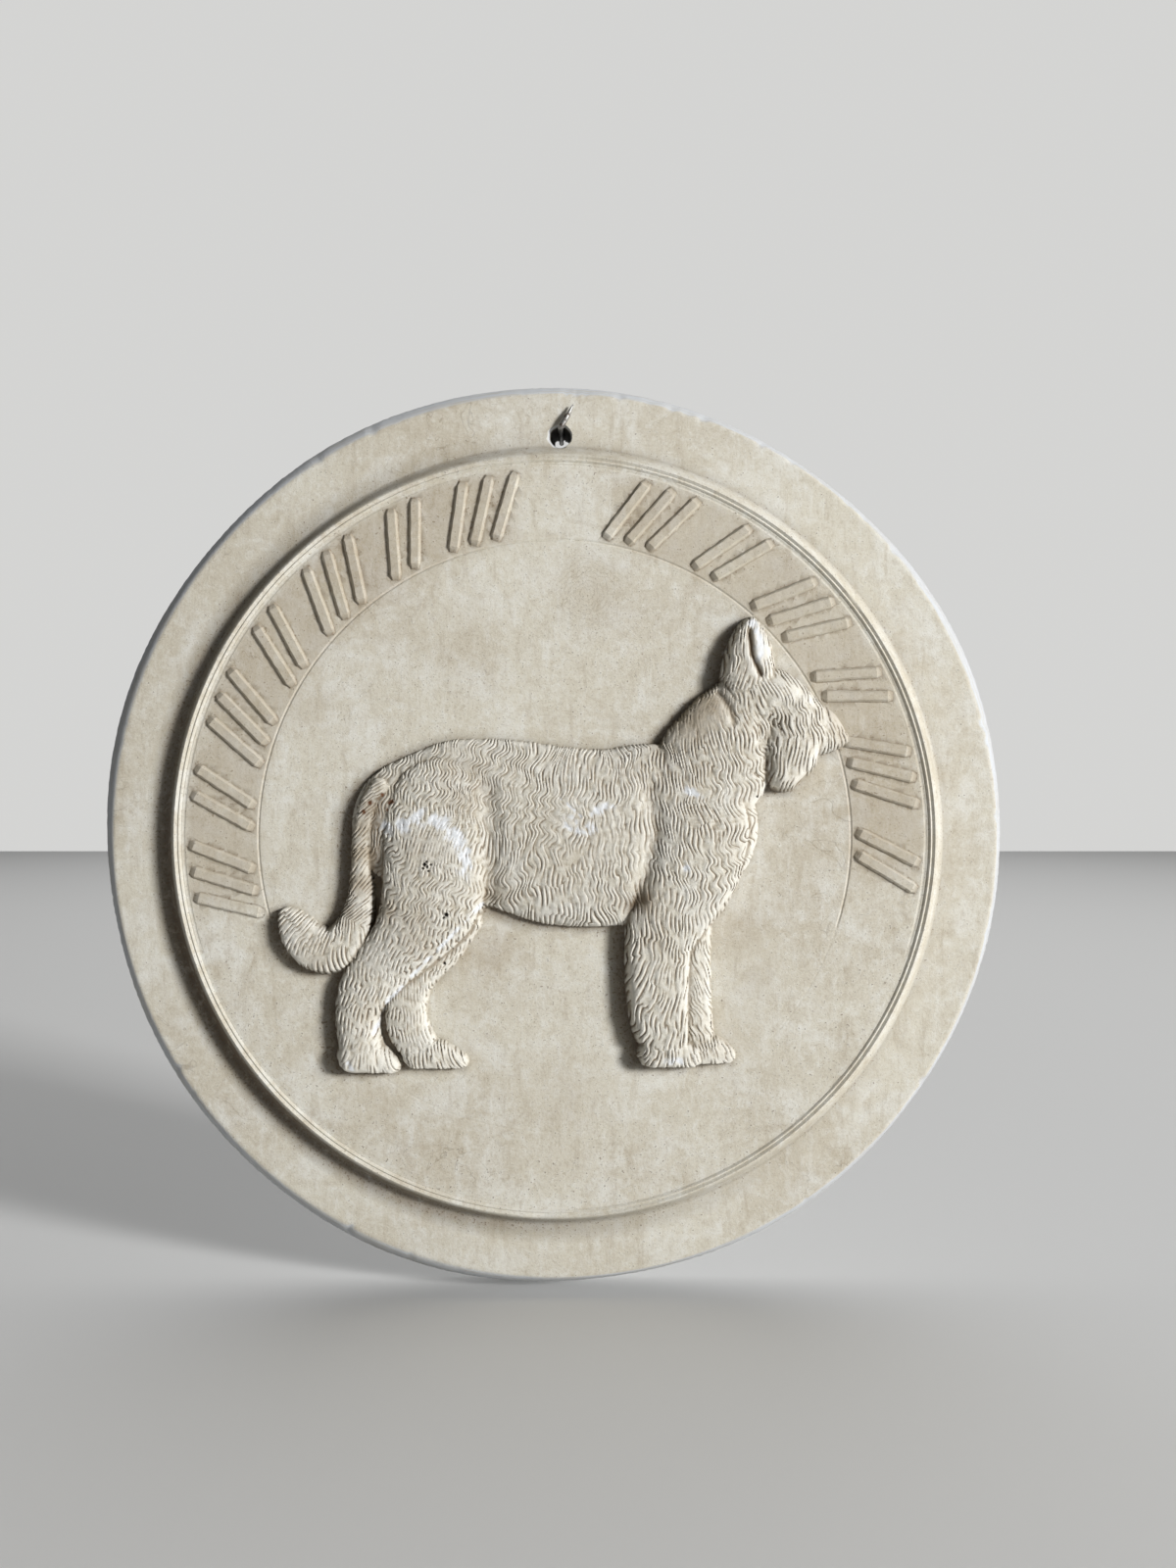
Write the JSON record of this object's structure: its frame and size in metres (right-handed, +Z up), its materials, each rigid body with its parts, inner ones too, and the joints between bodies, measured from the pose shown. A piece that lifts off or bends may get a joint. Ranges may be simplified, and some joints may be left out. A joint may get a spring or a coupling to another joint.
{
  "type": "decorative wall plaque",
  "caption": "Round cast plaster wall plaque with a shaggy dog standing in relief on a raised field, a plain rim, a curved row of plain strokes, and a hook in its hanging hole.",
  "frame": {"origin": "middle of the flat back, on the wall's surface", "axes": "+X to the viewer's right, +Z up the wall, +Y into the wall; the relief looks along -Y"},
  "size_m": [0.3027, 0.0342, 0.3027],
  "materials": {
    "plaster": "matt aged plaster, cream and brown patina, white where worn",
    "iron": "dark forged iron, rubbed bright on one edge"
  },
  "bodies": {
    "root": {"plaque": "plaster", "hanging_hook": "iron"}
  },
  "joints": []
}
